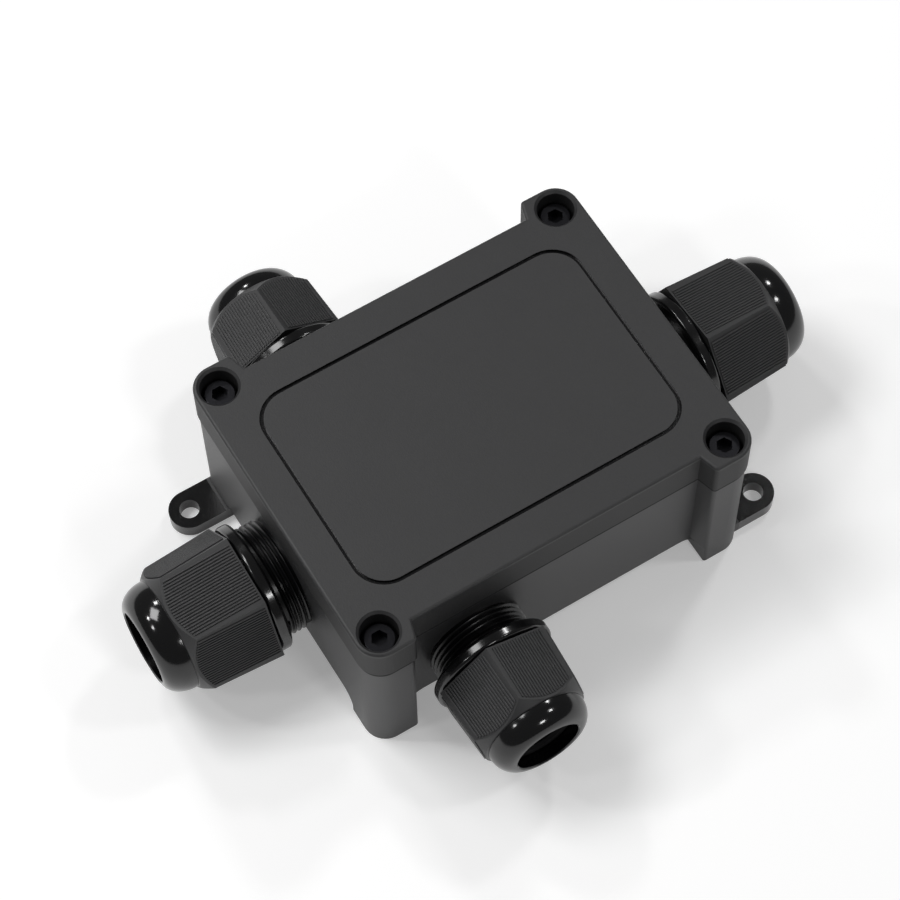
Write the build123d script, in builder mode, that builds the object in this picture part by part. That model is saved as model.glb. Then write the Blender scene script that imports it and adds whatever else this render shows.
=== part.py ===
from build123d import *
import os
from math import cos, radians, sin, tan
from dataclasses import dataclass

# Cable junction box with four cable glands, all sizes in millimetres.
# The box stands on its four feet at Z = 0, its centre on the Z axis and its long side along X.

# ---- Driving sizes -------------------------------------------------------------------------

screw_pitch_x = 104.0        # lid screws, long way
screw_pitch_y = 82.0         # lid screws, short way
boss_radius = 6.8            # round outer corner of each screw boss on the lid
boss_reach = 5.4             # how far a boss stands out beyond the long wall of the lid
boss_inner = 7.0             # flat of a boss, from the screw towards the middle
boss_slant = 1.6             # the boss's inner side leans out by this much at the wall
box_height = 56.0            # ground to lid top
lid_height = 12.0            # skirt of the lid, top to seam
foot_height = 7.5            # ground to the underside of the floor
arch_radius = 5.0            # curve between a foot and the underside of a wall
wall = 4.2                   # base wall, thick enough for the seal groove
floor = 2.6
lid_plate = 4.0              # thickness of the lid's top
lid_wall = 3.4               # skirt thickness of the lid
lip = 0.5                    # the lid stands out past the base by this much all round

# Lid screws: M5 socket caps that sit deep in the lid
screw_shank_radius = 2.5
screw_head_radius = 4.25
screw_head_height = 5.0
screw_socket = 4.0           # hexagon across flats
screw_depth = 4.0            # lid top to head top
screw_head_room = 0.9        # radial room round the head
screw_hole_room = 0.4        # radial room round the shank in the lid
thread_fit = 0.05            # radial clearance of every thread

# Brass inserts in the base's corner posts
insert_radius = 3.6
insert_length = 9.0
insert_gap = 0.2             # the insert lies this far below the seam

# Lid groove, a shallow line round the name field
groove_half_x = 48.3
groove_half_y = 31.4
groove_corner = 8.9
groove_width = 1.1
groove_depth = 0.7

rim_bevel = 0.7              # bevel round each screw well
lid_edge = 0.8               # soft edge round the lid's top

# Lid seal: a square cord in the rim of the base
seal_width = 1.8
seal_depth = 1.6
seal_inset = 1.0             # rim left between the cavity and the seal
post_inner = 8.2             # round of each corner post inside the cavity

# Fixing ears at ground level, one on each short side
ear_out = 15.4               # hole centre from the lid screw, along X
ear_in = 2.6                 # hole centre from the lid screw, towards the middle
ear_radius = 5.8
ear_hole_radius = 2.8
ear_thickness = 4.6

# Cable glands
gland_height = 24.0          # axis above the ground
branch_x = -25.0             # the two glands on the long walls share this X
gland_boss_depth = 3.6       # thickening of the wall round each gland, inside
gland_boss_width = 2.8       # radial width of that thickening
stub_share = 0.5             # threaded stub, as a share of the dome nut's hexagon
seat_depth = 4.0             # pocket in the stub that holds seal and claw
flange_edge = 0.9
mouth_flat = 0.5             # flat ring left round the mouth
rib_pitch = 1.2              # grip ribs on the flats of the dome nut
rib_depth = 0.45
rib_margin = 1.3             # smooth strip beside each corner
groove_half = 0.38           # half width of a groove between ribs
corner_bevel_start = 0.9
corner_bevel_rise = 1.3
nut_gap = 0.4                # open line between the flange and the dome nut
rest_gap = 0.3               # room between pieces that move against each other


@dataclass
class GlandSize:
    thread_radius: float     # neck that screws into the wall
    neck: float              # thread left outside the wall
    flange_radius: float
    flange: float            # thickness of the flange
    across_flats: float      # dome nut, at its flange end
    nut_taper: float         # degrees that each flat leans in
    nut_length: float        # hexagon part
    dome_length: float       # rounded end
    mouth_radius: float      # opening for the cable
    cable_radius: float      # bore of the rubber seal


main_gland = GlandSize(thread_radius=13.5, neck=7.4, flange_radius=18.4, flange=3.4, across_flats=35.6,
                       nut_taper=3.0, nut_length=23.0, dome_length=8.0, mouth_radius=10.2,
                       cable_radius=7.0)
branch_gland = GlandSize(thread_radius=12.4, neck=8.0, flange_radius=17.2, flange=3.4, across_flats=32.4,
                         nut_taper=3.0, nut_length=18.6, dome_length=6.6, mouth_radius=9.2,
                         cable_radius=6.0)

# Degrees that each dome nut is turned on its thread
nut_turn = {"left": 22.0, "right": 4.0, "front": 32.0, "back": 20.0}

# Terminal block on the floor
poles = 4
pole_pitch = 12.0
block_width = 24.0
block_height = 20.0
block_flange = 6.0           # foot at each end, for the fixing screws
block_flange_height = 5.0
tube_radius = 3.6
tube_bore = 2.5
clamp_screw_radius = 1.8
clamp_head_radius = 2.6
clamp_offset = 6.5           # clamp screws from the middle of a tube
fixing_radius = 1.6
fixing_head_radius = 2.9

# ---- Sizes that follow ---------------------------------------------------------------------

screw_x = screw_pitch_x / 2
screw_y = screw_pitch_y / 2
lid_half_x = screw_x + boss_radius
lid_half_y = screw_y + boss_radius - boss_reach
base_half_x = lid_half_x - lip
base_half_y = lid_half_y - lip
seam = box_height - lid_height
floor_top = foot_height + floor
head_top = box_height - screw_depth
head_seat = head_top - screw_head_height
insert_top = seam - insert_gap
insert_bottom = insert_top - insert_length
corners = [(sx * screw_x, sy * screw_y) for sx in (-1, 1) for sy in (-1, 1)]
ears = [(-1, 1), (1, -1)]
block_length = poles * pole_pitch
pole_x = [(i - (poles - 1) / 2) * pole_pitch for i in range(poles)]
block_top = floor_top + block_height
tube_z = floor_top + block_height * 0.42

os.makedirs("parts", exist_ok=True)


def tan_degrees(angle):
    return tan(radians(angle))


def save(shape, name):
    shape.label = name
    export_step(shape, f"parts/{name}.step")


def case_outline(inset):
    """Filled plan of the case: a rectangle whose four screw bosses stand out along Y."""
    radius = boss_radius - inset
    half_y = lid_half_y - inset
    flat_y = screw_y + radius
    with BuildSketch() as plan:
        Rectangle(2 * (screw_x + radius), screw_pitch_y)
        Rectangle(screw_pitch_x, 2 * half_y)
        with Locations(*corners):
            Circle(radius)
        with BuildLine():
            Polyline(
                (screw_x, 0),
                (screw_x, flat_y),
                (screw_x - boss_inner + inset, flat_y),
                (screw_x - boss_inner - boss_slant + inset, half_y),
                (screw_x - boss_inner - boss_slant + inset, 0),
                close=True,
            )
        quarter = make_face()
        mirrored = mirror(quarter, about=Plane.YZ)
        mirror(quarter, about=Plane.XZ)
        mirror(mirrored, about=Plane.XZ)
        toes = plan.vertices().filter_by(lambda v: abs(abs(v.Y) - flat_y) < 0.01 and abs(v.X) < screw_x - 1)
        fillet(toes, 1.2)
    return plan.sketch


# ---- Base ----------------------------------------------------------------------------------

def cavity_plan(grow):
    """Plan of the space inside the base, with a round post at each corner."""
    with BuildSketch() as plan:
        Rectangle(2 * (base_half_x - wall + grow), 2 * (base_half_y - wall + grow))
        with Locations(*corners):
            Circle(post_inner - grow, mode=Mode.SUBTRACT)
    return plan.sketch


def gland_planes():
    """Where each gland leaves the case: origin on the outer wall, local Z along the cable."""
    return {
        "left": (main_gland, Plane((-base_half_x, 0, gland_height), x_dir=(0, -1, 0), z_dir=(-1, 0, 0))),
        "right": (main_gland, Plane((base_half_x, 0, gland_height), x_dir=(0, 1, 0), z_dir=(1, 0, 0))),
        "front": (branch_gland, Plane((branch_x, -base_half_y, gland_height), x_dir=(1, 0, 0), z_dir=(0, -1, 0))),
        "back": (branch_gland, Plane((branch_x, base_half_y, gland_height), x_dir=(-1, 0, 0), z_dir=(0, 1, 0))),
    }


base_plan = case_outline(lip)
post_radius = boss_radius - lip
foot_inner_x = screw_x - boss_inner + lip
foot_inner_y = screw_y - post_radius

with BuildPart() as base:
    with BuildSketch(Plane.XY.offset(foot_height)):
        add(base_plan)
    extrude(amount=seam - foot_height)
    # hollow, leaving round posts at the corners
    with BuildSketch(Plane.XY.offset(floor_top)):
        add(cavity_plan(0))
    extrude(amount=seam - floor_top, mode=Mode.SUBTRACT)
    # thicker wall round each gland, held down to the cavity
    for size, plane in gland_planes().values():
        with BuildSketch(plane.offset(-wall)):
            Circle(size.thread_radius + gland_boss_width)
        extrude(amount=-gland_boss_depth)
    # feet: the posts run on down to the ground
    with BuildSketch(Plane.XY):
        add(base_plan)
        Rectangle(2 * foot_inner_x, 200, mode=Mode.SUBTRACT)
        Rectangle(200, 2 * foot_inner_y, mode=Mode.SUBTRACT)
    extrude(amount=foot_height)
    # arches that brace each foot against the underside of the walls
    for side_y in (-1, 1):
        with BuildSketch(Plane.XZ.offset(-side_y * base_half_y)):
            with Locations((-foot_inner_x, foot_height), (foot_inner_x, foot_height)):
                Rectangle(2 * arch_radius, 2 * arch_radius)
            with Locations((0, foot_height)):
                Rectangle(2 * (foot_inner_x - arch_radius), 2 * arch_radius, mode=Mode.SUBTRACT)
            with Locations(*[(sx * (foot_inner_x - arch_radius), foot_height - arch_radius) for sx in (-1, 1)]):
                Circle(arch_radius, mode=Mode.SUBTRACT)
        extrude(amount=side_y * wall)
    for side_x in (-1, 1):
        with BuildSketch(Plane.YZ.offset(side_x * base_half_x)):
            with Locations((-foot_inner_y, foot_height), (foot_inner_y, foot_height)):
                Rectangle(2 * arch_radius, 2 * arch_radius)
            with Locations((0, foot_height)):
                Rectangle(2 * (foot_inner_y - arch_radius), 2 * arch_radius, mode=Mode.SUBTRACT)
            with Locations(*[(sy * (foot_inner_y - arch_radius), foot_height - arch_radius) for sy in (-1, 1)]):
                Circle(arch_radius, mode=Mode.SUBTRACT)
        extrude(amount=-side_x * wall)
    # ears
    for sx, sy in ears:
        ear_x = sx * (screw_x + ear_out)
        ear_y = sy * (screw_y - ear_in)
        with BuildSketch(Plane.XY):
            with Locations((ear_x, ear_y)):
                Circle(ear_radius)
            with Locations(((ear_x + sx * screw_x) / 2, ear_y)):
                Rectangle(ear_out, 2 * ear_radius)
            with Locations((ear_x, ear_y)):
                Circle(ear_hole_radius, mode=Mode.SUBTRACT)
        extrude(amount=ear_thickness)
    # seal groove, following the rim of the cavity and passing inside the screws
    with BuildSketch(Plane.XY.offset(seam)):
        add(cavity_plan(seal_inset + seal_width))
        add(cavity_plan(seal_inset), mode=Mode.SUBTRACT)
    extrude(amount=-seal_depth, mode=Mode.SUBTRACT)
    # insert pockets
    with BuildSketch(Plane.XY.offset(seam)):
        with Locations(*corners):
            Circle(insert_radius + thread_fit)
    extrude(amount=-(seam - insert_bottom) - 2, mode=Mode.SUBTRACT)
    # gland holes
    for size, plane in gland_planes().values():
        with BuildSketch(plane):
            Circle(size.thread_radius + thread_fit)
        extrude(amount=-(wall + gland_boss_depth), mode=Mode.SUBTRACT)

save(base.part, "base")


# ---- Lid, its seal, screws and inserts -------------------------------------------------------

with BuildPart() as lid:
    with BuildSketch(Plane.XY.offset(seam)):
        add(case_outline(0))
    extrude(amount=lid_height)
    fillet(lid.faces().sort_by(Axis.Z)[-1].edges(), lid_edge)
    with BuildSketch(Plane.XY.offset(seam)):
        add(cavity_plan(wall - lip - lid_wall))
    extrude(amount=lid_height - lid_plate, mode=Mode.SUBTRACT)
    # groove round the name field
    with BuildSketch(Plane.XY.offset(box_height)):
        RectangleRounded(2 * groove_half_x + groove_width, 2 * groove_half_y + groove_width,
                         groove_corner + groove_width / 2)
        RectangleRounded(2 * groove_half_x - groove_width, 2 * groove_half_y - groove_width,
                         groove_corner - groove_width / 2, mode=Mode.SUBTRACT)
    extrude(amount=-groove_depth, mode=Mode.SUBTRACT)
    # deep screw wells with a bevelled rim
    with Locations(*[(x, y, box_height) for x, y in corners]):
        CounterBoreHole(screw_shank_radius + screw_hole_room, screw_head_radius + screw_head_room,
                        box_height - head_seat, lid_height)
        Cone(screw_head_radius + screw_head_room, screw_head_radius + screw_head_room + rim_bevel, rim_bevel,
             align=(Align.CENTER, Align.CENTER, Align.MAX), mode=Mode.SUBTRACT)

save(lid.part, "lid")

with BuildPart() as lid_seal:
    with BuildSketch(Plane.XY.offset(seam)):
        add(cavity_plan(seal_inset + seal_width - thread_fit))
        add(cavity_plan(seal_inset + thread_fit), mode=Mode.SUBTRACT)
    extrude(amount=-seal_depth)

save(lid_seal.part, "lid_seal")

with BuildPart() as lid_screw:
    with BuildSketch(Plane.XY.offset(head_seat)):
        Circle(screw_head_radius)
    extrude(amount=screw_head_height)
    fillet(lid_screw.faces().sort_by(Axis.Z)[-1].edges(), 0.4)
    with BuildSketch(Plane.XY.offset(head_top)):
        RegularPolygon(screw_socket / 2, 6, major_radius=False)
    extrude(amount=-screw_head_height * 0.6, mode=Mode.SUBTRACT)
    with BuildSketch(Plane.XY.offset(head_seat)):
        Circle(screw_shank_radius)
    extrude(amount=-(head_seat - insert_bottom))
    chamfer(lid_screw.faces().sort_by(Axis.Z)[0].edges(), 0.5)

with BuildPart() as insert:
    with BuildSketch(Plane.XY.offset(insert_bottom)):
        Circle(insert_radius)
        Circle(screw_shank_radius + thread_fit, mode=Mode.SUBTRACT)
    extrude(amount=insert_length)
    with BuildSketch(Plane.XY.offset(insert_bottom + insert_length / 2 - 0.8)):
        Circle(insert_radius)
        Circle(insert_radius - 0.5, mode=Mode.SUBTRACT)
    extrude(amount=1.6, mode=Mode.SUBTRACT)

corner_names = ["front_left", "back_left", "front_right", "back_right"]
for corner, (x, y) in zip(corner_names, corners):
    save(Pos(x, y, 0) * lid_screw.part, f"lid_screw_{corner}")
    save(Pos(x, y, 0) * insert.part, f"insert_{corner}")


# ---- Cable glands ----------------------------------------------------------------------------
# Each piece is built with the cable along Z and Z = 0 on the outer wall, then set on its wall.

claw_wall = 1.6
claw_slots = 12
claw_slot = 1.0
claw_ring = 2.5              # closed ring at the foot of the clamping claw
stub_inset = 4.2             # nut's flat to its thread


def stub_radius(size):
    return size.across_flats / 2 - stub_inset


def seal_outer(size):
    return stub_radius(size) - 1.6 - claw_wall


def gland_body(size):
    """Neck with the wall thread, flange, and the stub that the dome nut screws on."""
    flange_top = size.neck + size.flange
    with BuildPart() as body:
        with BuildSketch():
            Circle(size.thread_radius)
        extrude(amount=-(wall + gland_boss_depth))
        with BuildSketch():
            Circle(size.thread_radius)
        extrude(amount=size.neck)
        with BuildSketch(Plane.XY.offset(size.neck)) as flange:
            Circle(size.flange_radius)
        extrude(amount=size.flange)
        rims = body.edges().filter_by(GeomType.CIRCLE).filter_by(lambda e: e.radius > size.flange_radius - 0.1)
        fillet(rims, flange_edge)
        with BuildSketch(Plane.XY.offset(flange_top)):
            Circle(stub_radius(size))
        extrude(amount=size.nut_length * stub_share)
        with BuildSketch(Plane.XY.offset(flange_top + size.nut_length * stub_share)):
            Circle(seal_outer(size) - 1.2)
        extrude(amount=-60, mode=Mode.SUBTRACT)
        with BuildSketch(Plane.XY.offset(flange_top + size.nut_length * stub_share)):
            Circle(seal_outer(size) + claw_wall + thread_fit)
        extrude(amount=-seat_depth, mode=Mode.SUBTRACT)
    return body.part


def clamping_claw(size):
    """Slotted ring whose fingers close on the seal as the nut is tightened."""
    foot = size.neck + size.flange + size.nut_length * stub_share - seat_depth + rest_gap / 3
    top = size.neck + size.flange + nut_gap + size.nut_length + size.dome_length * 0.3
    outer = seal_outer(size) + claw_wall
    with BuildPart() as claw:
        with BuildSketch(Plane.XY.offset(foot)):
            Circle(outer)
            Circle(seal_outer(size) + thread_fit, mode=Mode.SUBTRACT)
        extrude(amount=top - foot)
        chamfer(claw.edges().filter_by(GeomType.CIRCLE).group_by(Axis.Z)[-1].sort_by(SortBy.RADIUS)[-1], 1.0)
        with BuildSketch(Plane.XY.offset(foot + claw_ring)):
            with PolarLocations(outer, claw_slots):
                Rectangle(4 * claw_wall, claw_slot)
        extrude(amount=top - foot, mode=Mode.SUBTRACT)
    return claw.part


def cable_seal(size):
    """Rubber sleeve that grips the cable."""
    foot = size.neck + size.flange + size.nut_length * stub_share - seat_depth + rest_gap / 3
    top = size.neck + size.flange + nut_gap + size.nut_length + size.dome_length * 0.45
    with BuildPart() as sleeve:
        with BuildSketch(Plane.XY.offset(foot)):
            Circle(seal_outer(size))
            Circle(size.cable_radius, mode=Mode.SUBTRACT)
        extrude(amount=top - foot)
        mouth = sleeve.edges().filter_by(GeomType.CIRCLE).group_by(Axis.Z)[-1].sort_by(SortBy.RADIUS)[0]
        chamfer(mouth, 0.8)
    return sleeve.part


def ribbed_hexagon(size, turn_degrees, flats, height):
    """Hexagon whose flats carry fine grip ribs, cut as V grooves that leave smooth strips at the corners."""
    half_side = size.across_flats / 2 * tan_degrees(30)
    grooves = int(2 * (half_side - rib_margin) / rib_pitch)
    one_side = [(-half_side, 0)]
    for i in range(grooves):
        middle = (i - (grooves - 1) / 2) * rib_pitch
        one_side += [(middle - groove_half, 0), (middle, -rib_depth), (middle + groove_half, 0)]
    share = flats / (size.across_flats / 2)
    outline = []
    for side in range(6):
        turn = radians(60 * side + turn_degrees)
        for along, out in one_side:
            distance = size.across_flats / 2 + out
            outline.append((share * (distance * cos(turn) - along * sin(turn)),
                            share * (distance * sin(turn) + along * cos(turn))))
    with BuildSketch(Plane.XY.offset(height)) as hexagon:
        with BuildLine():
            Polyline(*outline, close=True)
        make_face()
    return hexagon.sketch


def dome_nut(size, turn_degrees):
    """Hexagon that narrows towards the cable, ending in a round dome with a wide mouth."""
    start = size.neck + size.flange + nut_gap
    hex_top = start + size.nut_length
    top = hex_top + size.dome_length
    end_flats = size.across_flats / 2 - size.nut_length * tan_degrees(size.nut_taper)
    with BuildPart() as nut:
        wide_end = ribbed_hexagon(size, turn_degrees, size.across_flats / 2, start)
        narrow_end = ribbed_hexagon(size, turn_degrees, end_flats, hex_top)
        loft([wide_end, narrow_end], ruled=True)
        # corners bevelled towards the flange and the dome
        with BuildSketch(Plane.XZ):
            with BuildLine():
                Polyline(
                    (0, start),
                    (size.across_flats / 2 + corner_bevel_start, start),
                    (size.across_flats / 2 * 1.16, start + corner_bevel_rise),
                    (size.across_flats / 2 * 1.16, hex_top - 3.2 * corner_bevel_rise),
                    (end_flats - 0.3, hex_top),
                    (0, hex_top),
                    close=True,
                )
            make_face()
        revolve(axis=Axis.Z, mode=Mode.INTERSECT)
        with BuildSketch(Plane.XY.offset(hex_top - 0.5)):
            Circle(end_flats - 0.7)
        extrude(amount=size.dome_length + 0.5)
        crown = nut.edges().filter_by(GeomType.CIRCLE).group_by(Axis.Z)[-1]
        fillet(crown, min(end_flats - 0.7 - size.mouth_radius - mouth_flat, size.dome_length - 0.6))
        # hollow: thread, claw room, cone and mouth
        with BuildSketch(Plane.XZ):
            with BuildLine():
                Polyline(
                    (0, start),
                    (stub_radius(size) + thread_fit, start),
                    (stub_radius(size) + thread_fit, hex_top - 1.0),
                    (size.mouth_radius, top - size.dome_length * 0.45),
                    (size.mouth_radius, top),
                    (0, top),
                    close=True,
                )
            make_face()
        revolve(axis=Axis.Z, mode=Mode.SUBTRACT)
    return nut.part


for side, (size, plane) in gland_planes().items():
    save(plane.location * gland_body(size), f"{side}_gland_body")
    save(plane.location * clamping_claw(size), f"{side}_clamping_claw")
    save(plane.location * cable_seal(size), f"{side}_cable_seal")
    save(plane.location * dome_nut(size, nut_turn[side]), f"{side}_dome_nut")


# ---- Terminal block --------------------------------------------------------------------------

fixing_x = block_length / 2 + block_flange / 2
fixings = [(-fixing_x, 0), (fixing_x, 0)]
clamps = [(x, sy * clamp_offset) for x in pole_x for sy in (-1, 1)]

with BuildPart() as block:
    with BuildSketch(Plane.XY.offset(floor_top)):
        Rectangle(block_length + 2 * block_flange, block_width * 0.6)
    extrude(amount=block_flange_height)
    with BuildSketch(Plane.XY.offset(floor_top)):
        Rectangle(block_length, block_width)
    extrude(amount=block_height)
    with BuildSketch(Plane.XZ.offset(-block_width / 2)):
        with Locations(*[(x, tube_z) for x in pole_x]):
            Circle(tube_radius + thread_fit)
    extrude(amount=block_width, mode=Mode.SUBTRACT)
    with BuildSketch(Plane.XY.offset(block_top)):
        with Locations(*clamps):
            Circle(clamp_head_radius + rest_gap)
    extrude(amount=-(block_top - tube_z), mode=Mode.SUBTRACT)
    with BuildSketch(Plane.XY.offset(floor_top + block_flange_height)):
        with Locations(*fixings):
            Circle(fixing_radius + 0.2)
    extrude(amount=-block_flange_height, mode=Mode.SUBTRACT)

with BuildPart() as tubes:
    with BuildSketch(Plane.XZ.offset(-block_width / 2 + 1)):
        with Locations(*[(x, tube_z) for x in pole_x]):
            Circle(tube_radius)
            Circle(tube_bore, mode=Mode.SUBTRACT)
    extrude(amount=block_width - 2)
    with BuildSketch(Plane.XY.offset(block_top)):
        with Locations(*clamps):
            Circle(clamp_screw_radius + thread_fit)
    extrude(amount=-(block_top - tube_z), mode=Mode.SUBTRACT)

with BuildPart() as clamp_screws:
    with BuildSketch(Plane.XY.offset(tube_z + tube_bore * 0.6)):
        with Locations(*clamps):
            Circle(clamp_screw_radius)
    extrude(amount=tube_radius - tube_bore * 0.6 + 0.6)
    with BuildSketch(Plane.XY.offset(tube_z + tube_radius + 0.6)):
        with Locations(*clamps):
            Circle(clamp_head_radius)
    extrude(amount=2.6)
    with BuildSketch(Plane.XY.offset(tube_z + tube_radius + 3.2)):
        with Locations(*clamps):
            Rectangle(2 * clamp_head_radius, 0.8)
    extrude(amount=-1.2, mode=Mode.SUBTRACT)

with BuildPart() as fixing_screws:
    with BuildSketch(Plane.XY.offset(floor_top + block_flange_height)):
        with Locations(*fixings):
            Circle(fixing_head_radius)
    extrude(amount=1.8)
    with BuildSketch(Plane.XY.offset(floor_top + block_flange_height)):
        with Locations(*fixings):
            Circle(fixing_radius)
    extrude(amount=-block_flange_height + 0.1)
    with BuildSketch(Plane.XY.offset(floor_top + block_flange_height + 1.8)):
        with Locations(*fixings):
            Rectangle(2 * fixing_head_radius, 0.8)
    extrude(amount=-0.9, mode=Mode.SUBTRACT)

save(block.part, "terminal_block")
save(tubes.part, "terminal_tubes")
save(clamp_screws.part, "terminal_clamp_screws")
save(fixing_screws.part, "block_fixing_screws")
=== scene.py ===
# %% [markdown]
# # A sealed cable junction box
# The real box is moulded in black nylon: a matte case with a matte lid, and four cable glands with
# glossy domes, whose nuts have finely ribbed flats. The solids come from the shared frame and are
# never moved. This notebook gives them their finishes, adds the wall threads that are too fine for
# the solids, makes the nuts anew with fine ribs, and lights the box.

# %% Load the frame
import math

import bmesh
import bpy
from mathutils import Matrix, Vector


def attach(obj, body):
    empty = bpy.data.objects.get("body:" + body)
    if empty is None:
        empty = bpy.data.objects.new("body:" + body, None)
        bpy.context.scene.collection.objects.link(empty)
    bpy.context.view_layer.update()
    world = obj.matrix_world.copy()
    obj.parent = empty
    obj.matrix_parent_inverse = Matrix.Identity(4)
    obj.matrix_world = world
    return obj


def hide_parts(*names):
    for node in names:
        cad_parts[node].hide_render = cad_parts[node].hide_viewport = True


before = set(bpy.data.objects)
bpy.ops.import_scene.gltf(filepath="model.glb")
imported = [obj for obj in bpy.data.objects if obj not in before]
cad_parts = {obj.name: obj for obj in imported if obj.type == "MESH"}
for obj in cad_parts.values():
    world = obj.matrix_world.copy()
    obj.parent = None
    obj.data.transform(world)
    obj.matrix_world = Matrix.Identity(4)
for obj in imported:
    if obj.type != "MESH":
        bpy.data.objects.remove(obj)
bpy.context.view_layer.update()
MM = 0.001

# %% [markdown]
# ## Names of the pieces
# Each gland sits on one wall. A gland is described by the direction that its cable leaves in, a
# point on its axis, its size class and how far its nut is turned, in degrees. Every later cell
# loops over this small table. Two sizes are in use: the main cable runs through the large glands,
# and the branches through the small ones.

# %% Gland table
GLAND_HEIGHT = 24 * MM
BRANCH_X = -25 * MM
WALL_X = 58.3 * MM      # outer face of the short walls
WALL_Y = 41.9 * MM      # outer face of the long walls

# Lengths run outwards from the wall: neck thread, flange, then the nut's hexagon and its dome.
LARGE = {"thread_radius": 15.2 * MM, "neck": 7.4 * MM, "nut_start": 11.2 * MM, "hex_top": 34.2 * MM,
         "top": 42.2 * MM, "flats": 17.8 * MM, "bore": 13.65 * MM, "mouth": 10.2 * MM}
SMALL = {"thread_radius": 13.3 * MM, "neck": 8.0 * MM, "nut_start": 11.8 * MM, "hex_top": 30.4 * MM,
         "top": 37.0 * MM, "flats": 16.2 * MM, "bore": 12.05 * MM, "mouth": 9.2 * MM}

GLANDS = {
    "left": {"out": Vector((-1, 0, 0)), "wall": Vector((-WALL_X, 0, GLAND_HEIGHT)),
             "size": LARGE, "turn": 22},
    "right": {"out": Vector((1, 0, 0)), "wall": Vector((WALL_X, 0, GLAND_HEIGHT)),
              "size": LARGE, "turn": 24},
    "front": {"out": Vector((0, -1, 0)), "wall": Vector((BRANCH_X, -WALL_Y, GLAND_HEIGHT)),
              "size": SMALL, "turn": 11},
    "back": {"out": Vector((0, 1, 0)), "wall": Vector((BRANCH_X, WALL_Y, GLAND_HEIGHT)),
             "size": SMALL, "turn": -2},
}


def on_wall(gland):
    """Places a piece built along +Z on its gland's wall, with its own +Y pointing up."""
    out = gland["out"]
    up = Vector((0, 0, 1))
    across = up.cross(out)
    turn = Matrix((across, up, out)).transposed().to_4x4()
    return Matrix.Translation(gland["wall"]) @ turn


print("glands:", ", ".join(GLANDS))

# %% [markdown]
# ## Colours and nodes
# Hex colours are written as a designer would read them, in sRGB. Shaders work in linear light, so
# one function turns the one into the other. Another small function adds a node, sets its values
# and links its inputs.


# %% Colour and node helpers
def linear(hex_colour):
    channels = [int(hex_colour[i:i + 2], 16) / 255 for i in (1, 3, 5)]
    return [c / 12.92 if c <= 0.04045 else ((c + 0.055) / 1.055) ** 2.4 for c in channels] + [1.0]


def add_node(tree, kind, values=None, links=None, **settings):
    node = tree.nodes.new(kind)
    for name, value in settings.items():
        setattr(node, name, value)
    for socket, value in (values or {}).items():
        node.inputs[socket].default_value = value
    for socket, source in (links or {}).items():
        tree.links.new(source, node.inputs[socket])
    return node


def new_material(name):
    material = bpy.data.materials.new(name)
    material.use_nodes = True
    tree = material.node_tree
    tree.nodes.clear()
    output = add_node(tree, "ShaderNodeOutputMaterial")
    shader = add_node(tree, "ShaderNodeBsdfPrincipled")
    tree.links.new(shader.outputs["BSDF"], output.inputs["Surface"])
    place = add_node(tree, "ShaderNodeTexCoord").outputs["Object"]
    return material, tree, shader, place


print("white in linear light:", linear("#ffffff")[0])

# %% [markdown]
# ## Black nylon with a spark-eroded texture
# The case and lid are nylon, moulded in a tool whose walls were spark eroded. That leaves a fine,
# even grain that scatters the light, so the black reads as a soft dark grey, with almost invisible
# cloudiness from the flow of the plastic. The real grain is near 0.1 mm, which is too fine to show
# from here, so it is drawn four times as coarse.

# %% Textured nylon
NYLON_IOR = 1.53
GRAIN = 0.45 * MM
CLOUD = 14 * MM
CLOUD_SHARE = 0.35      # how much the clouds add to the grain


def textured_nylon(name, dark, pale, rough, grain_height):
    material, tree, shader, place = new_material(name)
    grain = add_node(tree, "ShaderNodeTexNoise", {"Scale": 1 / GRAIN, "Detail": 3.0, "Roughness": 0.6},
                     {"Vector": place})
    cloud = add_node(tree, "ShaderNodeTexNoise", {"Scale": 1 / CLOUD, "Detail": 2.0}, {"Vector": place})
    both = add_node(tree, "ShaderNodeMath", {1: CLOUD_SHARE},
                    {0: cloud.outputs["Fac"], 2: grain.outputs["Fac"]}, operation="MULTIPLY_ADD")
    colour = add_node(tree, "ShaderNodeValToRGB", None, {"Fac": both.outputs[0]})
    colour.color_ramp.elements[0].position = 0.35
    colour.color_ramp.elements[0].color = linear(dark)
    colour.color_ramp.elements[1].position = 0.95
    colour.color_ramp.elements[1].color = linear(pale)
    tree.links.new(colour.outputs["Color"], shader.inputs["Base Color"])
    spread = add_node(tree, "ShaderNodeMapRange", {"To Min": rough - 0.05, "To Max": rough + 0.06},
                      {"Value": grain.outputs["Fac"]})
    tree.links.new(spread.outputs[0], shader.inputs["Roughness"])
    bump = add_node(tree, "ShaderNodeBump", {"Strength": 0.9, "Distance": grain_height},
                    {"Height": grain.outputs["Fac"]})
    tree.links.new(bump.outputs[0], shader.inputs["Normal"])
    shader.inputs["IOR"].default_value = NYLON_IOR
    return material


case_nylon = textured_nylon("Spark-textured black nylon, case", "#272728", "#303031", 0.44, 0.05 * MM)
lid_nylon = textured_nylon("Spark-textured black nylon, lid", "#252526", "#2c2c2d", 0.52, 0.05 * MM)
print("case finishes:", case_nylon.name, "|", lid_nylon.name)

# %% [markdown]
# ## Places with another finish, and painted shade
# Parts of the tool were left polished: the ears and the groove round the name field. The ears come
# out darker and shinier than the rest. The groove's floor is painted near black, as shade in the
# recess. The sides of the lid and its screw wells are painted darker as shade, and a band of the case
# just under the lid's overhang gets a painted shadow. Each place is found by where it lies: a mask of
# 0 or 1 made from Object coordinates, which changes the colour and the roughness there.

# %% A second finish and painted shade under a mask
# The Mix node has sockets of the same name for each kind of value, so they are given by number.
MIX_MASK = 0
MIX_NUMBER_A, MIX_NUMBER_B = 2, 3
MIX_COLOUR_A, MIX_COLOUR_B, MIX_COLOUR_OUT = 6, 7, 2


# Sets a real finish on the ears, and paints shade on the groove, lid sides, seam band and nut mouths.
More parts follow.
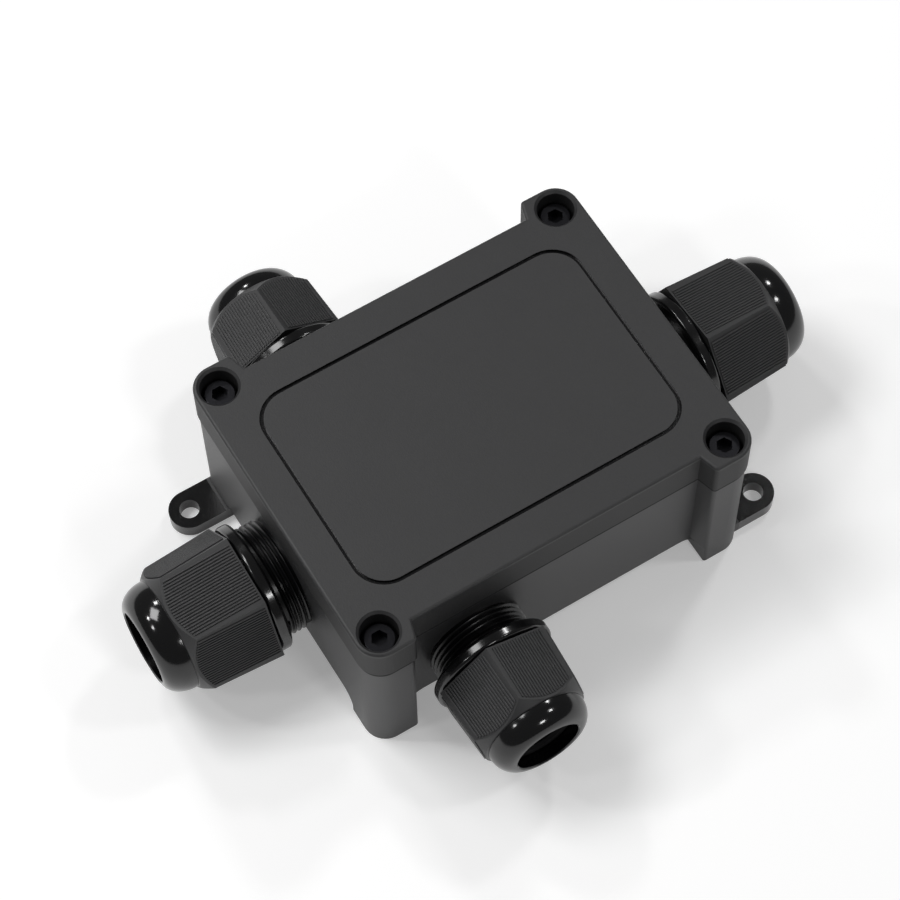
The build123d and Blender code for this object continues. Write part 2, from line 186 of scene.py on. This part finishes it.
def refinish_and_shade_where(material, mask, colour, rough):
    """Gives one finished material another colour and roughness wherever the mask is 1."""
    tree = material.node_tree
    shader = next(node for node in tree.nodes if node.type == "BSDF_PRINCIPLED")
    old_colour = shader.inputs["Base Color"].links[0].from_socket
    old_rough = shader.inputs["Roughness"].links[0].from_socket
    new_colour = add_node(tree, "ShaderNodeMix", {MIX_COLOUR_B: linear(colour)},
                          {MIX_MASK: mask, MIX_COLOUR_A: old_colour}, data_type="RGBA")
    new_rough = add_node(tree, "ShaderNodeMix", {MIX_NUMBER_B: rough},
                         {MIX_MASK: mask, MIX_NUMBER_A: old_rough})
    tree.links.new(new_colour.outputs[MIX_COLOUR_OUT], shader.inputs["Base Color"])
    tree.links.new(new_rough.outputs[0], shader.inputs["Roughness"])


def folded_place(tree):
    """X, Y and Z folded into one quarter, because the case is alike in all four."""
    place = add_node(tree, "ShaderNodeTexCoord").outputs["Object"]
    folded = add_node(tree, "ShaderNodeVectorMath", None, {0: place}, operation="ABSOLUTE")
    return add_node(tree, "ShaderNodeSeparateXYZ", None, {0: folded.outputs[0]}).outputs


def mask_where(tree, *tests):
    """1 where every test holds. A test is a value, how it is compared and a limit."""
    mask = None
    for value, comparison, limit in tests:
        holds = add_node(tree, "ShaderNodeMath", {1: limit}, {0: value}, operation=comparison).outputs[0]
        if mask is None:
            mask = holds
        else:
            mask = add_node(tree, "ShaderNodeMath", None, {0: mask, 1: holds},
                            operation="MULTIPLY").outputs[0]
    return mask


print("mask helpers ready")

# %% Ears, groove, painted shade on the lid sides and painted shadow under the lid
EAR_START = 59 * MM                         # only the ears reach past this
SEAM_SHADOW_START = 42.1 * MM                       # painted shadow under the lid's overhang starts here, on the case
SIDE_TOP = 54.9 * MM                        # sides of the lid and the screw wells lie below this
GROOVE_TOP = 55.9 * MM                      # in the name field, anything lower is the groove
GROOVE_FIELD = Vector((50, 33, 0)) * MM     # the groove lies inside this half size

case_tree = case_nylon.node_tree
case_place = folded_place(case_tree)
ear = mask_where(case_tree, (case_place["X"], "GREATER_THAN", EAR_START))
refinish_and_shade_where(case_nylon, ear, "#060607", 0.14)
# Painted shadow: a near-black, very rough band of the case just under the lid's overhang.
seam_shadow = mask_where(case_tree, (case_place["Z"], "GREATER_THAN", SEAM_SHADOW_START))
refinish_and_shade_where(case_nylon, seam_shadow, "#040405", 0.95)

lid_tree = lid_nylon.node_tree
lid_place = folded_place(lid_tree)
# Painted shade: the groove's floor is near black, as shade in the recess; its low roughness is its own.
groove = mask_where(lid_tree, (lid_place["X"], "LESS_THAN", GROOVE_FIELD.x),
                    (lid_place["Y"], "LESS_THAN", GROOVE_FIELD.y),
                    (lid_place["Z"], "LESS_THAN", GROOVE_TOP))
refinish_and_shade_where(lid_nylon, groove, "#060607", 0.2)
# Painted shade: the lid's sides and its screw wells are drawn darker than its top.
side_wall = mask_where(lid_tree, (lid_place["Z"], "LESS_THAN", SIDE_TOP))
refinish_and_shade_where(lid_nylon, side_wall, "#161617", 0.62)
print("polished: ears and groove; darker: lid sides, gap under the lid")

# %% [markdown]
# ## Polished nylon
# The gland bodies come from a polished tool, so they are near black with a clear, tight
# highlight. A faint long-wave ripple from shrinkage keeps the highlight from looking computed. The
# thread is duller than the flange and is painted darker as shade near the wall, and its lower IOR
# stands for the dark between its turns.

# %% Polished nylon
RIPPLE = 6 * MM
RIPPLE_HEIGHT = 0.06 * MM


def polished_nylon(name, colour, rough, ior=NYLON_IOR):
    material, tree, shader, place = new_material(name)
    shader.inputs["Base Color"].default_value = linear(colour)
    shader.inputs["IOR"].default_value = ior
    ripple = add_node(tree, "ShaderNodeTexNoise", {"Scale": 1 / RIPPLE, "Detail": 1.0}, {"Vector": place})
    spread = add_node(tree, "ShaderNodeMapRange", {"To Min": rough, "To Max": rough + 0.08},
                      {"Value": ripple.outputs["Fac"]})
    tree.links.new(spread.outputs[0], shader.inputs["Roughness"])
    bump = add_node(tree, "ShaderNodeBump", {"Strength": 0.25, "Distance": RIPPLE_HEIGHT},
                    {"Height": ripple.outputs["Fac"]})
    tree.links.new(bump.outputs[0], shader.inputs["Normal"])
    return material


gland_nylon = polished_nylon("Polished black nylon, gland", "#0b0b0c", 0.12)
# The thread's colour is darker than the gland's, as painted shade near the wall.
thread_nylon = polished_nylon("Satin black nylon, thread", "#060607", 0.24, ior=1.38)
print("gland finishes:", gland_nylon.name, "|", thread_nylon.name)

# %% [markdown]
# ## Dome nut: satin flats, polished dome
# One moulding carries two finishes. The ribbed hexagon is satin, and the dome beyond it is
# polished. The change follows the distance along the nut's axis, which is X for the large nuts and
# Y for the small ones, so the mask is the size of that coordinate. A second mask follows the
# distance from the axis and paints the inside of the mouth near black, as shade in the hole.

# %% Two-finish nut
FINISH_CHANGE = 0.1 * MM        # the dome's finish starts this far past the hexagon
FINISH_BLEND = 0.3 * MM         # and blends in over this much on either side
MOUTH_SHADE_REACH = 0.1 * MM           # the mouth's painted shade reaches this far past its wall
NUT_GRAIN_HEIGHT = 0.03 * MM
SATIN_ROUGHNESS = 0.46
DOME_ROUGHNESS = 0.12


def nut_nylon(name, axis, dome_starts, middle, across, mouth):
    material, tree, shader, place = new_material(name)
    parts = add_node(tree, "ShaderNodeSeparateXYZ", None, {"Vector": place})
    distance = add_node(tree, "ShaderNodeMath", None, {0: parts.outputs[axis]}, operation="ABSOLUTE")
    mask = add_node(tree, "ShaderNodeMapRange",
                    {"From Min": dome_starts - FINISH_BLEND, "From Max": dome_starts + FINISH_BLEND},
                    {"Value": distance.outputs[0]}, interpolation_type="SMOOTHSTEP")
    colour = add_node(tree, "ShaderNodeValToRGB", None, {"Fac": mask.outputs[0]})
    colour.color_ramp.elements[0].color = linear("#2c2c2d")
    colour.color_ramp.elements[1].color = linear("#0c0c0d")
    tree.links.new(colour.outputs["Color"], shader.inputs["Base Color"])
    rough = add_node(tree, "ShaderNodeMapRange", {"To Min": SATIN_ROUGHNESS, "To Max": DOME_ROUGHNESS},
                     {"Value": mask.outputs[0]})
    tree.links.new(rough.outputs[0], shader.inputs["Roughness"])
    from_axis = add_node(tree, "ShaderNodeVectorMath", {1: middle}, {0: place}, operation="SUBTRACT")
    level = add_node(tree, "ShaderNodeVectorMath", {1: across}, {0: from_axis.outputs[0]},
                     operation="MULTIPLY")
    radius = add_node(tree, "ShaderNodeVectorMath", None, {0: level.outputs[0]}, operation="LENGTH")
    # Painted shade: near black inside the mouth, where the hole lies in shade.
    mouth_shade = mask_where(tree, (radius.outputs["Value"], "LESS_THAN", mouth + MOUTH_SHADE_REACH))
    refinish_and_shade_where(material, mouth_shade, "#040405", 0.2)
    grain = add_node(tree, "ShaderNodeTexNoise", {"Scale": 1 / GRAIN, "Detail": 2.0}, {"Vector": place})
    bump = add_node(tree, "ShaderNodeBump", {"Strength": 0.25, "Distance": NUT_GRAIN_HEIGHT},
                    {"Height": grain.outputs["Fac"]})
    tree.links.new(bump.outputs[0], shader.inputs["Normal"])
    shader.inputs["IOR"].default_value = NYLON_IOR
    return material


large_nut = nut_nylon("Satin and polished nylon, large nut", "X", WALL_X + LARGE["hex_top"] + FINISH_CHANGE,
                      (0, 0, GLAND_HEIGHT), (0, 1, 1), LARGE["mouth"])
small_nut = nut_nylon("Satin and polished nylon, small nut", "Y", WALL_Y + SMALL["hex_top"] + FINISH_CHANGE,
                      (BRANCH_X, 0, GLAND_HEIGHT), (1, 0, 1), SMALL["mouth"])
print("nut finishes:", large_nut.name, "|", small_nut.name)

# %% [markdown]
# ## Metals, rubber and the other plastics
# The lid screws are black-oxide steel: dark, with a dull metal glint. Inside, the tubes and inserts
# are turned brass and the small screws are zinc plated. The seals are matte black silicone, whose
# lower IOR keeps them dark at a flat angle.


# %% Metals and rubber
def metal(name, colour, rough, grain_size):
    material, tree, shader, place = new_material(name)
    shader.inputs["Base Color"].default_value = linear(colour)
    shader.inputs["Metallic"].default_value = 1.0
    grain = add_node(tree, "ShaderNodeTexNoise", {"Scale": 1 / grain_size, "Detail": 3.0}, {"Vector": place})
    spread = add_node(tree, "ShaderNodeMapRange", {"To Min": rough - 0.08, "To Max": rough + 0.1},
                      {"Value": grain.outputs["Fac"]})
    tree.links.new(spread.outputs[0], shader.inputs["Roughness"])
    return material


black_oxide = metal("Black-oxide steel", "#303033", 0.32, 0.5 * MM)
brass = metal("Turned brass", "#c9a45a", 0.28, 0.6 * MM)
zinc = metal("Zinc-plated steel", "#b9bcc0", 0.3, 0.7 * MM)
rubber = polished_nylon("Black silicone rubber", "#070708", 0.85, ior=1.3)
claw_nylon = textured_nylon("Moulded nylon, clamping claw", "#1c1c1d", "#222223", 0.45, 0.03 * MM)
block_nylon = textured_nylon("Grey moulded nylon, terminal block", "#8d9092", "#9a9da0", 0.5, 0.03 * MM)
print("metals:", black_oxide.name, brass.name, zinc.name)

# %% [markdown]
# ## A finish for every node
# A solid keeps its shape and place and only gets a better finish, by clearing the material slots of
# its mesh and adding one of the materials above.

# %% Give every node its finish
FINISH = {
    "base": case_nylon, "lid": lid_nylon, "lid_seal": rubber, "terminal_block": block_nylon,
    "terminal_tubes": brass, "terminal_clamp_screws": zinc, "block_fixing_screws": zinc,
}
for corner in ("front_left", "back_left", "front_right", "back_right"):
    FINISH["lid_screw_" + corner] = black_oxide
    FINISH["insert_" + corner] = brass
for side, gland in GLANDS.items():
    gland["nut_finish"] = large_nut if gland["size"] is LARGE else small_nut
    FINISH[side + "_gland_body"] = gland_nylon
    FINISH[side + "_clamping_claw"] = claw_nylon
    FINISH[side + "_cable_seal"] = rubber
    FINISH[side + "_dome_nut"] = gland["nut_finish"]
for node, material in FINISH.items():
    solid = bpy.data.objects[node]
    solid.data.materials.clear()
    solid.data.materials.append(material)
print("finishes set on", len(FINISH), "nodes")

# %% [markdown]
# ## Wall thread
# The neck of each gland carries a moulded thread with rounded crests, 1.5 mm from turn to turn. A
# helix is a small profile that turns about the axis while it climbs by one pitch a turn, which is
# what spin does when it is given a step along the axis. The profile starts inside the neck, so
# nothing shows below it.

# %% Thread ridge
THREAD_PITCH = 1.5 * MM
CREST = 0.7 * MM                # height of the ridge over the neck
CREST_ROUND = 0.12 * MM         # the crest's edges lie this much lower
ROOT_SINK = 0.15 * MM           # the ridge starts this deep inside the neck
FREE_END = 0.9                  # pitches of neck left without thread
STEPS_PER_TURN = 72
NECK_SEGMENTS = 96


def finished_mesh(shape, name, sharp_from):
    """Turns a bmesh into a smooth mesh whose edges past an angle, in degrees, stay sharp."""
    mesh = bpy.data.meshes.new(name)
    shape.to_mesh(mesh)
    shape.free()
    mesh.shade_smooth()
    mesh.set_sharp_from_angle(angle=math.radians(sharp_from))
    return mesh


def thread_ridge(name, size):
    """A helical ridge round +Z, from just outside the wall to just short of the flange."""
    neck_radius = size["thread_radius"]
    run = size["neck"] - THREAD_PITCH * FREE_END
    turns = run / THREAD_PITCH
    steps = round(turns * STEPS_PER_TURN)
    root = neck_radius - ROOT_SINK
    crest = neck_radius + CREST
    edge = crest - CREST_ROUND
    profile = [(root, -0.46), (edge, -0.16), (crest, 0.0), (edge, 0.16), (root, 0.46)]
    shape = bmesh.new()
    points = [shape.verts.new((radius, 0, THREAD_PITCH * (0.5 + share))) for radius, share in profile]
    face = shape.faces.new(points)
    bmesh.ops.spin(shape, geom=[face, *face.edges, *face.verts], cent=(0, 0, 0), axis=(0, 0, 1),
                   dvec=(0, 0, run / steps), angle=turns * 2 * math.pi, steps=steps, use_duplicate=False)
    shape.faces.new([shape.verts.new(point.co) for point in points])
    bmesh.ops.remove_doubles(shape, verts=shape.verts, dist=0.001 * MM)
    bmesh.ops.create_cone(shape, cap_ends=True, segments=NECK_SEGMENTS, radius1=neck_radius,
                          radius2=neck_radius, depth=size["neck"],
                          matrix=Matrix.Translation((0, 0, size["neck"] / 2)))
    bmesh.ops.recalc_face_normals(shape, faces=shape.faces)
    return finished_mesh(shape, name, sharp_from=50)


def place_piece(mesh, gland, material, body):
    mesh.transform(on_wall(gland))
    mesh.materials.append(material)
    piece = bpy.data.objects.new(mesh.name, mesh)
    bpy.context.scene.collection.objects.link(piece)
    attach(piece, body)
    print(piece.name, "faces:", len(mesh.polygons))
    return piece


for side, gland in GLANDS.items():
    place_piece(thread_ridge(side + "_neck_thread", gland["size"]), gland, thread_nylon, "housing")

# %% [markdown]
# ## Dome nut
# The nut's shape is that of a round blank with a domed end, whose sides six flats cut away. Making
# it that way gives the curved edges where a flat meets the cone, with no drawing: spin the profile
# of the blank, then slice it with one leaning plane per flat and close each cut.

# %% Blank of the nut
LEAN = math.radians(3)          # each flat leans in towards the cable
BLANK_SHARE = 1.16              # radius of the blank, as a share of the distance to a flat
BEVEL_RISE = 0.5 * MM           # cone at the flange end
BEVEL_FALL = 4.6 * MM           # longer cone at the dome end
RIB_HEIGHT = 0.34 * MM
SHOULDER_DROP = 0.1 * MM        # the cone ends this far inside the flats
DOME_STEP = 0.5 * MM            # the dome is this much smaller than the shoulder
STEP_HEIGHT = 0.15 * MM
DOME_FOOT = 0.6 * MM            # straight stretch under the round of the dome
MOUTH_LIP = 0.35 * MM           # flat ring round the mouth
MOUTH_BEVEL = 0.3 * MM
MOUTH_DEPTH = 0.45              # share of the dome's height where the mouth's wall is straight
BORE_SINK = 1.0 * MM            # the bore ends this far below the hexagon's top
DOME_STEP_DEGREES = 6


def flat_at(size, along):
    """Distance from the axis to a flat, measured at a place along the axis."""
    return size["flats"] - RIB_HEIGHT - (along - size["nut_start"]) * math.tan(LEAN)


def blank_profile(size):
    start, hex_top, top, mouth = size["nut_start"], size["hex_top"], size["top"], size["mouth"]
    widest = size["flats"] * BLANK_SHARE
    shoulder = flat_at(size, hex_top) - SHOULDER_DROP
    dome = shoulder - DOME_STEP
    wide = dome - mouth - MOUTH_LIP
    high = top - hex_top - DOME_FOOT
    angles = [math.radians(degrees) for degrees in range(0, 91, DOME_STEP_DEGREES)]
    round_end = [(dome - wide + wide * math.cos(a), top - high + high * math.sin(a)) for a in angles]
    outside = [(widest - BEVEL_RISE, start), (widest, start + BEVEL_RISE), (widest, hex_top - BEVEL_FALL),
               (shoulder, hex_top), (dome, hex_top + STEP_HEIGHT)]
    mouth_shade = [(mouth, top - MOUTH_BEVEL), (mouth, top - MOUTH_DEPTH * (top - hex_top)),
              (size["bore"], hex_top - BORE_SINK), (size["bore"], start)]
    return outside + round_end + mouth_shade


print("points in the large blank:", len(blank_profile(LARGE)))

# %% [markdown]
# ## Ribs on the flats
# The grip ribs are bars laid side by side on each flat, with their long edges rounded. A bar is as
# long as the flat is where it lies, so the field of ribs follows the flat's curved ends.

# %% Ribs
RIB_PITCH = 0.82 * MM
RIB_WIDTH = 0.46 * MM
RIB_ROUND = 0.12 * MM
RIB_MARGIN = 0.6 * MM           # smooth strip between the ribs and the hexagon's corner
RIB_FLANGE_GAP = 0.5 * MM
RIB_DOME_GAP = 0.9 * MM
SHORT_EDGE = 2 * MM             # edges shorter than this are a rib's ends and stay sharp


def add_ribs(shape, size, angle):
    """Fine bars on one flat, each as long as the flat is where it lies."""
    flats = size["flats"]
    widest = flats * BLANK_SHARE
    shoulder = flat_at(size, size["hex_top"])
    half_side = shoulder * math.tan(math.radians(30))
    count = int(2 * (half_side - RIB_MARGIN) / RIB_PITCH)
    for i in range(count):
        offset = (i - (count - 1) / 2) * RIB_PITCH
        reach = math.hypot(shoulder, offset)
        past_flats = max(0, (reach - flats) / (widest - flats))
        low = size["nut_start"] + RIB_FLANGE_GAP + BEVEL_RISE * past_flats
        high = size["hex_top"] - RIB_DOME_GAP - BEVEL_FALL * (reach - shoulder) / (widest - shoulder)
        middle = (low + high) / 2
        place = (Matrix.Rotation(angle, 4, "Z")
                 @ Matrix.Translation((flat_at(size, middle), offset, middle))
                 @ Matrix.Rotation(-LEAN, 4, "Y"))
        bar = bmesh.ops.create_cube(shape, size=1, matrix=place @ Matrix.Diagonal(
            (2 * RIB_HEIGHT, RIB_WIDTH, high - low, 1)))
        bar_edges = dict.fromkeys(edge for corner in bar["verts"] for edge in corner.link_edges)
        long_edges = [edge for edge in bar_edges if edge.calc_length() > SHORT_EDGE]
        bmesh.ops.bevel(shape, geom=long_edges, offset=RIB_ROUND, offset_type="OFFSET", segments=2,
                        profile=0.5, affect="EDGES", clamp_overlap=True, material=-1)
    return count


print("ribs are", round(RIB_PITCH / MM, 2), "mm apart")

# %% Cut and ribbed nut
BLANK_SEGMENTS = 144
FLAT_ANGLES = range(0, 360, 60)


def dome_nut(name, size, turn):
    shape = bmesh.new()
    points = [shape.verts.new((radius, 0, along)) for radius, along in blank_profile(size)]
    rim = [shape.edges.new((a, b)) for a, b in zip(points, points[1:] + points[:1])]
    bmesh.ops.spin(shape, geom=points + rim, cent=(0, 0, 0), axis=(0, 0, 1), angle=2 * math.pi,
                   steps=BLANK_SEGMENTS, use_merge=True, use_duplicate=False)
    bmesh.ops.remove_doubles(shape, verts=shape.verts, dist=0.001 * MM)
    bmesh.ops.recalc_face_normals(shape, faces=shape.faces)
    angles = [math.radians(degrees + turn) for degrees in FLAT_ANGLES]
    for angle in angles:
        normal = Vector((math.cos(angle) * math.cos(LEAN), math.sin(angle) * math.cos(LEAN), math.sin(LEAN)))
        on_flat = Vector((math.cos(angle), math.sin(angle), 0)) * flat_at(size, size["nut_start"])
        on_flat.z = size["nut_start"]
        cut = bmesh.ops.bisect_plane(shape, geom=[*shape.verts, *shape.edges, *shape.faces],
                                     plane_co=on_flat, plane_no=normal, clear_outer=True)
        edges = [item for item in cut["geom_cut"] if isinstance(item, bmesh.types.BMEdge)]
        bmesh.ops.edgeloop_fill(shape, edges=edges)
    ribs = sum(add_ribs(shape, size, angle) for angle in angles)
    bmesh.ops.recalc_face_normals(shape, faces=shape.faces)
    print(name, "ribs:", ribs)
    return finished_mesh(shape, name, sharp_from=18)


for side, gland in GLANDS.items():
    nut = place_piece(dome_nut(side + "_ribbed_nut", gland["size"], gland["turn"]), gland,
                      gland["nut_finish"], side + "_nut")
    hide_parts(side + "_dome_nut")

# %% [markdown]
# ## Floor and background
# The box lies on white card that runs out to a white background. The card keeps the box's soft
# shadow. It also glows a little, but only as seen by the camera, in a reflection or through glass,
# which lifts it to white without adding light to the box.

# %% Floor
CARD_SIZE = 30
CARD_GLOW = 0.27
SURROUND = 0.14

bpy.ops.mesh.primitive_plane_add(size=CARD_SIZE)
card = bpy.context.object
card.name = "white_card"
card_paint = bpy.data.materials.new("White card")
card_paint.use_nodes = True
card_tree = card_paint.node_tree
card_tree.nodes.clear()
card_out = add_node(card_tree, "ShaderNodeOutputMaterial")
card_white = add_node(card_tree, "ShaderNodeBsdfDiffuse", {"Color": linear("#f2f2f2")})
card_glow = add_node(card_tree, "ShaderNodeEmission", {"Color": linear("#ffffff")})
rays = add_node(card_tree, "ShaderNodeLightPath").outputs
seen = rays["Is Camera Ray"]
for kind in ("Is Glossy Ray", "Is Transmission Ray"):
    seen = add_node(card_tree, "ShaderNodeMath", None, {0: seen, 1: rays[kind]},
                    operation="MAXIMUM").outputs[0]
glow_amount = add_node(card_tree, "ShaderNodeMath", {1: CARD_GLOW}, {0: seen}, operation="MULTIPLY")
card_tree.links.new(glow_amount.outputs[0], card_glow.inputs["Strength"])
card_sum = add_node(card_tree, "ShaderNodeAddShader", None,
                    {0: card_white.outputs[0], 1: card_glow.outputs[0]})
card_tree.links.new(card_sum.outputs[0], card_out.inputs["Surface"])
card.data.materials.append(card_paint)

world = bpy.data.worlds.new("White surround")
bpy.context.scene.world = world
world.use_nodes = True
surround = world.node_tree.nodes["Background"]
surround.inputs["Color"].default_value = linear("#ffffff")
surround.inputs["Strength"].default_value = SURROUND
print("floor and surround ready")

# %% [markdown]
# ## Lights
# A broad softbox, overhead and to the back left, gives the even grey of the lid. Six small ones
# stand all round and leave the bright window-like spots on the domes and flanges. Black plastic
# shows its lights as reflections, so their places matter more than their strength: none stands
# where the flat lid and ears would mirror it into the camera.


# %% Softboxes
def softbox(name, place, width, height, watts):
    """A rectangular area lamp that faces the middle of the box's foot."""
    lamp = bpy.data.lights.new(name, "AREA")
    lamp.shape = "RECTANGLE"
    lamp.size = width
    lamp.size_y = height
    lamp.energy = watts
    holder = bpy.data.objects.new(name, lamp)
    holder.location = place
    holder.rotation_euler = (-Vector(place)).to_track_quat("-Z", "Y").to_euler()
    bpy.context.scene.collection.objects.link(holder)


softbox("overhead", (-0.42, 0.5, 1.05), 0.5, 0.4, 5.9)
softbox("back_window", (-0.05, 0.78, 0.85), 0.1, 0.1, 1.3)
softbox("back_right_window", (0.66, 0.3, 0.9), 0.12, 0.1, 1.5)
softbox("left_window", (-0.78, 0.1, 0.75), 0.1, 0.12, 0.7)
softbox("far_left_window", (-0.7, 0.42, 0.72), 0.08, 0.08, 0.9)
softbox("front_window", (0.1, -0.8, 0.75), 0.16, 0.12, 1.3)
softbox("right_window", (0.6, -0.35, 0.95), 0.12, 0.12, 1.2)

# %% [markdown]
# ## Camera
# The box is seen from its front left corner, high up, through a long lens that keeps its edges
# nearly parallel.

# %% Camera
CAMERA_AIM = Vector((-3.0, 5.9, 28.0)) * MM
CAMERA_DISTANCE = 780 * MM
CAMERA_TURN = math.radians(-30.2)
CAMERA_RISE = math.radians(62.55)
CAMERA_ROLL = math.radians(-1.29)
LENS = 116.2

back = Vector((math.sin(CAMERA_TURN) * math.cos(CAMERA_RISE),
               -math.cos(CAMERA_TURN) * math.cos(CAMERA_RISE),
               math.sin(CAMERA_RISE)))
camera_data = bpy.data.cameras.new("camera")
camera_data.lens = LENS
camera = bpy.data.objects.new("camera", camera_data)
camera.location = CAMERA_AIM + back * CAMERA_DISTANCE
camera.rotation_mode = "QUATERNION"
roll = Matrix.Rotation(CAMERA_ROLL, 3, "Z").to_quaternion()
camera.rotation_quaternion = (-back).to_track_quat("-Z", "Y") @ roll
bpy.context.scene.collection.objects.link(camera)
bpy.context.scene.camera = camera
bpy.context.scene.view_settings.view_transform = "Standard"
print("camera at", [round(v, 3) for v in camera.location])

# %% End of the scene
print("scene ready")
